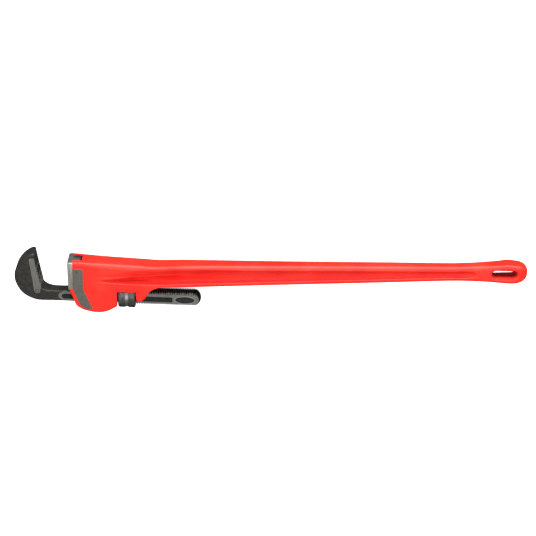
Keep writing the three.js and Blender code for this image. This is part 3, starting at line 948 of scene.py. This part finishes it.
def side_hollows(side):
    """Cutters for the channel and the oval recess in one side of the shank."""
    face = side * SHANK_HALF
    start, stop, low_y, high_y = CHANNEL
    middle, half = (low_y + high_y) / 2, (high_y - low_y) / 2
    channel = [(stop, low_y), (stop, high_y)]
    channel += circle(start + half, middle, half, 24, math.pi / 2, 1.5 * math.pi)
    oval, depth = oval_outline(0.0), OVAL[4]
    cutters = []
    for name, polygon, floor in (("channel", channel, CHANNEL_DEPTH), ("oval", oval, depth)):
        cutter = prism(name, polygon, *sorted((face - side * floor, face + side * 10)))
        cutter.data.materials.append(CHANNEL_DARK)
        cutters.append(cutter)
    return cutters


def hook_strip():
    """The bright ground band beside the teeth on both sides of the hook, with a round foot."""
    bottom, top = HOOK_FACE
    x, y, radius = STRIP_FOOT
    band = [tuple(bottom + (0.6, 0)), tuple(top + (0.1, -7)), tuple(top + (-3.0, -4))]
    band += [tuple(top + (-14.0, -5.5)), tuple(top + (-15.6, -8))]
    band += circle(x, y, radius, 16, math.pi * 1.04, math.pi * 2.02)
    strip = prism("strip", band, -HOOK_HALF, HOOK_HALF)
    strip.data.materials.append(FORGED)
    strip.data.materials.append(STRIP_METAL)
    for face in strip.data.polygons:
        face.material_index = int(abs(face.normal.z) > 0.5)
    return strip


def foot_rings():
    """Shallow round grooves in the strip's feet, one on each side."""
    x, y, radius = STRIP_FOOT
    rings = []
    for side in (-1, 1):
        outer, inner = radius * 0.62, radius * 0.46
        low, high = sorted((side * (HOOK_HALF - 0.5), side * (HOOK_HALF + 2)))
        ring = prism("ring", circle(x, y, outer), low, high)
        core = prism("core", circle(x, y, inner), low - 1, high + 1)
        ring.data.materials.append(CHANNEL_DARK)
        core.data.materials.append(CHANNEL_DARK)
        combine(ring, core, "DIFFERENCE")
        rings.append(ring)
    return rings


def make_heel():
    """The heel jaw: a toothed block on the front of the head, with a tongue pinned in its slot."""
    bottom = np.array([HEEL_FACE_X, HEEL_BOTTOM_Y])
    top = np.array([HEEL_FACE_X, HEEL_TOP_Y])
    heel = block("heel_jaw_insert", (*bottom, -HEEL_HALF), (HEEL_BACK_X, HEEL_TOP_Y, HEEL_HALF))
    soften(heel, 1.6, 3)
    heel.data.materials.append(HEEL_METAL)
    tongue = block("tongue", (HEEL_BACK_X - 6, TONGUE_BOTTOM_Y, -TONGUE_HALF),
                   (TONGUE_END_X, TONGUE_TOP_Y, TONGUE_HALF))
    soften(tongue, 1.0, 2)
    tongue.data.materials.append(HEEL_METAL)
    combine(heel, tongue, "UNION")
    hole = prism("hole", circle(HEEL_PIN[0], HEEL_PIN[1], HEEL_PIN[2] + 0.15), -40, 40)
    hole.data.materials.append(BARE_CUT)
    combine(heel, hole, "DIFFERENCE")
    teeth = tooth_cutter(top - (0, 1.5), bottom + (0, 1.5), 40, TOOTH_DEPTH)
    teeth.data.materials.append(FORGED)
    combine(heel, teeth, "DIFFERENCE")
    shade_by_angle(heel, 32)
    return finish_piece(heel, "handle", ["heel_jaw"])


def make_pin(name, place, half, metal, node):
    """A cross pin with chamfered ends."""
    x, y, radius = place
    chamfer = 0.6
    rim = radius - 0.02
    profile = [(0, -half), (rim - chamfer, -half), (rim, -half + chamfer), (rim, half - chamfer),
               (rim - chamfer, half), (0, half)]
    pin = revolve(name, profile, "z", at=(x, y, 0), sides=48)
    pin.data.materials.append(metal)
    shade_by_angle(pin, 30)
    finish_piece(pin, "handle", [node])


def knurl(x, angle):
    """Depth of the nut's diamond knurl, in millimetres, at a place along it and round it."""
    turns = KNURLS * angle / (2 * math.pi)
    steps = x / KNURL_STEP
    left = np.abs((turns + steps) % 1 - 0.5) * 2
    right = np.abs((turns - steps) % 1 - 0.5) * 2
    return KNURL_DEPTH * (1 - np.minimum(np.minimum(left, right) * 1.6, 1))


def nut_blank():
    """The nut before its thread is cut: two knurled bands with a plain valley between, and chamfered ends."""
    rows = int(round(2 * NUT_HALF / (KNURL_STEP / 6)))
    x = np.linspace(-NUT_HALF, NUT_HALF, rows + 1)
    sides = KNURLS * 6
    angle = np.arange(sides) * 2 * math.pi / sides
    inset = NUT_HALF - np.abs(x)
    radius = NUT_RADIUS - np.clip(NUT_CHAMFER - inset, 0, None) * 0.9
    valley = np.clip((VALLEY_HALF + 1.2 - np.abs(x)) / 1.2, 0, 1)
    radius = radius - VALLEY_DEPTH * ease(valley)
    knurled = np.clip((inset - 1.0) / 1.2, 0, 1) * (1 - valley)
    vertices, faces = [], []
    for row in range(rows + 1):
        r = radius[row] - knurled[row] * knurl(x[row], angle)
        vertices += list(zip(np.full(sides, x[row]), r * np.cos(angle), r * np.sin(angle)))
    for row in range(rows):
        for side in range(sides):
            near, far = row * sides, (row + 1) * sides
            following = (side + 1) % sides
            faces.append([near + side, near + following, far + following, far + side])
    faces.append(list(range(sides))[::-1])
    faces.append(list(range(rows * sides, (rows + 1) * sides)))
    nut = mesh_object("knurled_nut", vertices, faces)
    nut.data.materials.append(NUT_METAL)
    # Valley faces get the lighter turned steel, which also serves as a painted highlight.
    nut.data.materials.append(VALLEY_METAL_WITH_HIGHLIGHT)
    for face in nut.data.polygons:
        face.material_index = int(abs(local(face.center).x) < VALLEY_HALF)
    return nut


def make_nut():
    """The adjusting nut, with its thread and a countersunk mouth at each end."""
    nut = nut_blank()
    bore = thread_solid("bore", -NUT_HALF, NUT_HALF, ROOT_RADIUS + THREAD_PLAY, CREST_RADIUS + THREAD_PLAY,
                        1.5, 0.4)
    bore.data.materials.append(THREAD)
    combine(nut, bore, "DIFFERENCE")
    inner, outer, depth = CREST_RADIUS - 2, CREST_RADIUS + 4, 3
    for end, left, right in ((-1, outer, inner), (1, inner, outer)):
        profile = [(0, -depth), (left, -depth), (right, depth), (0, depth)]
        mouth = revolve("mouth", profile, "x", at=(end * NUT_HALF, 0, 0), sides=72)
        mouth.data.materials.append(NUT_METAL)
        combine(nut, mouth, "DIFFERENCE")
    shade_by_angle(nut, 34)
    return finish_piece(nut, "adjusting_nut", ["adjusting_nut"])


def make_coil():
    """A compression spring with closed ends, between the leaf and its pin."""
    low, high = (local(corner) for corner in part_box("coil_spring"))
    mean = (high.x - low.x) / 2 - COIL_WIRE
    centre_x = (low.x + high.x) / 2
    steps = 36
    count = int(COIL_TURNS * steps)
    turns = np.arange(count + 1) / steps
    closed_until, open_from, closed_pitch = 0.8, 1.4, 0.3
    from_end = np.minimum(turns, COIL_TURNS - turns)
    pitch = np.interp(from_end, [closed_until, open_from], [closed_pitch, 1])
    climb = np.concatenate([[0], np.cumsum((pitch[1:] + pitch[:-1]) / 2)])
    y = low.y + COIL_WIRE + (high.y - low.y - 2 * COIL_WIRE) * climb / climb[-1]
    angle = turns * 2 * math.pi
    points = np.stack([centre_x + mean * np.cos(angle), y, mean * np.sin(angle)], 1)
    coil = tube("coil_spring_wire", points, COIL_WIRE)
    coil.data.materials.append(BLUED)
    finish_piece(coil, "handle", ["coil_spring"])
    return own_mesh(coil)


def make_leaf():
    """The flat spring on top of the thread, with the boss that holds the coil."""
    low, high = (local(corner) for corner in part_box("flat_spring"))
    side_gap = 0.2
    base = low.y + 0.05
    leaf = block("flat_spring_leaf", (low.x, base, low.z + side_gap),
                 (high.x, base + LEAF_THICKNESS, high.z - side_gap))
    soften(leaf, 0.5, 2, 50)
    leaf.data.materials.append(BLUED)
    foot = base + 0.8
    profile = [(0, foot), (BOSS_RADIUS, foot), (BOSS_RADIUS, high.y - 1), (BOSS_RADIUS - 1, high.y),
               (0, high.y)]
    boss = revolve("boss", profile, "y", at=(SPRING_PIN[0], 0, 0), sides=40)
    boss.data.materials.append(BLUED)
    combine(leaf, boss, "UNION")
    shade_by_angle(leaf, 32)
    return finish_piece(leaf, "flat_spring", ["flat_spring"])


def finish_piece(piece, body, nodes):
    """Puts a piece on its body, in place of its CAD nodes."""
    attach(piece, body)
    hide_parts(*nodes)
    return piece


make_handle()
make_heel()
make_pin("heel_pin", HEEL_PIN, 28.0, GROUND, "heel_jaw_pin")
make_pin("spring_cross_pin", SPRING_PIN, 26.8, PAINT, "spring_pin")
make_hook()
make_nut()
make_coil()
make_leaf()


# Camera, floor and lights --------------------------------------------------------------------

# In metres and degrees
CAMERA_TARGET = Vector((-0.0094, 0.0511, 0.0338))
CAMERA_DISTANCE = 3.3
CAMERA_TURN = 2.53
CAMERA_TILT = 32.0
CAMERA_LENS = 81.7
FLOOR_REACH = 8.0
FLOOR_LEVEL = -0.0005
FLOOR_GLOW = 1.0
HORIZON_LIGHT = 0.2
ZENITH_LIGHT = 0.42


def place_camera():
    """The view: from above and from the back of the head, with the wrench turned a little."""
    turn, tilt = math.radians(CAMERA_TURN), math.radians(CAMERA_TILT)
    right = Vector((math.cos(turn), math.sin(turn), 0))
    across = Vector((-math.sin(turn), math.cos(turn), 0))
    up = across * math.cos(tilt) - Vector((0, 0, math.sin(tilt)))
    back = across * math.sin(tilt) + Vector((0, 0, math.cos(tilt)))
    data = bpy.data.cameras.new("camera")
    data.lens = CAMERA_LENS
    data.sensor_width = 36
    camera = bpy.data.objects.new("camera", data)
    turned = Matrix((right, up, back)).transposed().to_4x4()
    camera.matrix_world = Matrix.Translation(CAMERA_TARGET + back * CAMERA_DISTANCE) @ turned
    bpy.context.scene.collection.objects.link(camera)
    bpy.context.scene.camera = camera


def place_floor():
    """A white, glowing floor, as in a cut-out product picture. It throws no light on the wrench."""
    mesh = bpy.data.meshes.new("floor")
    corners = [(x * FLOOR_REACH, y * FLOOR_REACH, FLOOR_LEVEL) for x, y in ((-1, -1), (1, -1), (1, 1), (-1, 1))]
    mesh.from_pydata(corners, [], [(0, 1, 2, 3)])
    floor = bpy.data.objects.new("floor", mesh)
    bpy.context.scene.collection.objects.link(floor)
    pale = Surface("pale_floor", Base_Color=(0.93, 0.93, 0.93, 1), Roughness=0.9, Specular_IOR_Level=0.1,
                   Emission_Color=(1, 1, 1, 1), Emission_Strength=FLOOR_GLOW)
    mesh.materials.append(pale.material)
    floor.visible_glossy = False
    floor.visible_diffuse = False


def place_light(name, at, size, power):
    """A rectangular lamp that faces the wrench."""
    data = bpy.data.lights.new(name, "AREA")
    data.shape = "RECTANGLE"
    data.size, data.size_y = size
    data.energy = power
    lamp = bpy.data.objects.new(name, data)
    turned = (-Vector(at)).to_track_quat("-Z", "Y").to_matrix().to_4x4()
    lamp.matrix_world = Matrix.Translation(at) @ turned
    bpy.context.scene.collection.objects.link(lamp)


def place_world():
    """A studio that is bright overhead and dark along the horizon, which edges and side faces reflect."""
    world = bpy.data.worlds.new("studio")
    world.use_nodes = True
    tree = world.node_tree
    background = tree.nodes["Background"]
    background.inputs["Color"].default_value = (1, 1, 1, 1)
    direction = tree.nodes.new("ShaderNodeTexCoord")
    parts = tree.nodes.new("ShaderNodeSeparateXYZ")
    height = tree.nodes.new("ShaderNodeMapRange")
    for socket, value in ((1, 0.0), (2, 0.9), (3, HORIZON_LIGHT), (4, ZENITH_LIGHT)):
        height.inputs[socket].default_value = value
    tree.links.new(direction.outputs["Generated"], parts.inputs[0])
    tree.links.new(parts.outputs["Z"], height.inputs[0])
    tree.links.new(height.outputs[0], background.inputs["Strength"])
    bpy.context.scene.world = world
    bpy.context.scene.view_settings.view_transform = "Standard"


place_camera()
place_floor()
place_world()
place_light("overhead", (0.0, 0.2, 2.4), (3.2, 1.6), 42)
place_light("rear_panel", (0.2, 2.45, 0.95), (4.2, 0.8), 200)
